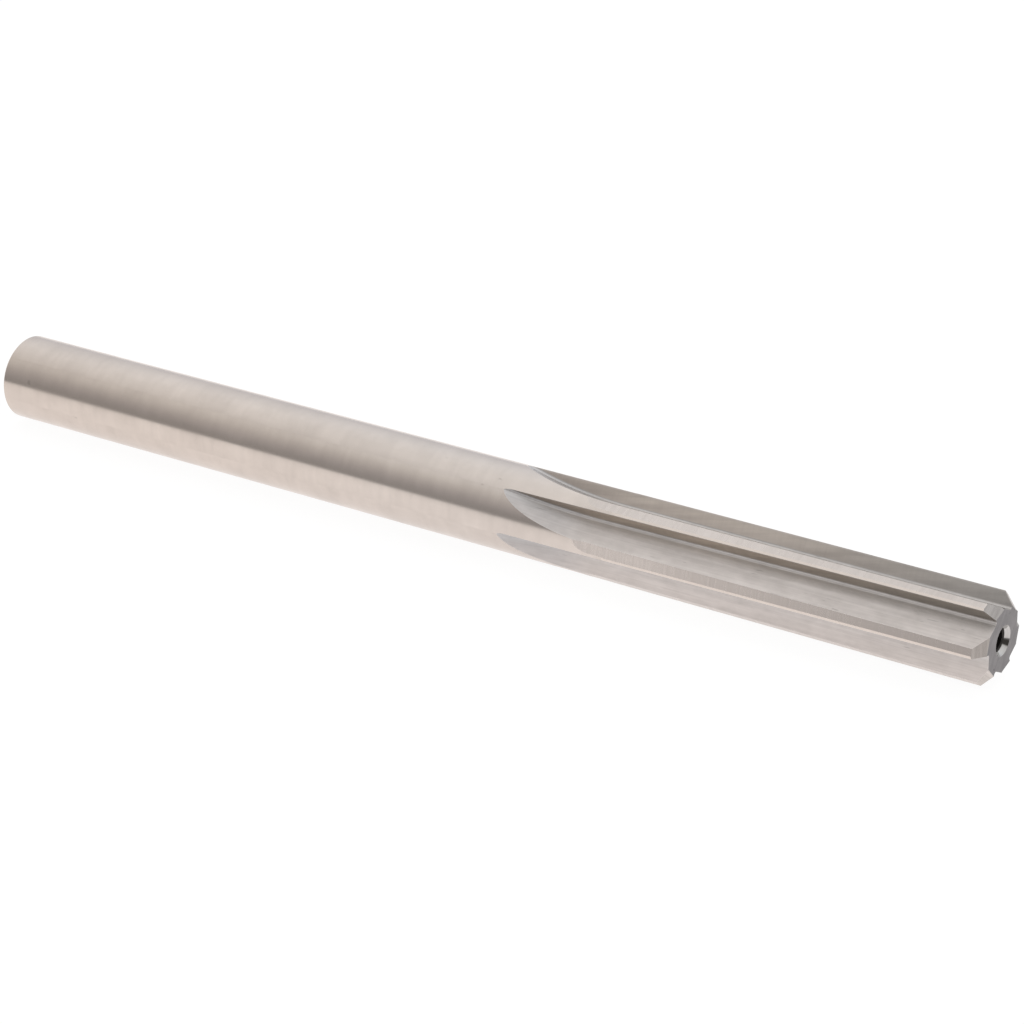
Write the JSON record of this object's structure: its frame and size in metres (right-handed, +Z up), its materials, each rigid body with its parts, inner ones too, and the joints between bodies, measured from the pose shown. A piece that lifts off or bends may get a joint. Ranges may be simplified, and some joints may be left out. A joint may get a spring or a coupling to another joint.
{
  "type": "machine reamer",
  "caption": "Straight-flute machine reamer with a plain round shank, relieved margins, a chamfered lead and a female centre in each end.",
  "frame": {"origin": "on the surface that the tool lies on, straight under its axis and at the middle of its length", "axes": "+X along the tool from the shank's end to the cutting end, +Z up from the surface, +Y to the left seen from the shank's end"},
  "size_m": [0.0822, 0.0064, 0.0063],
  "materials": {
    "ground_steel": "finely ground bright tool steel, shank ground round, flutes ground lengthways"
  },
  "bodies": {
    "root": {"reamer": "ground_steel"}
  },
  "joints": []
}
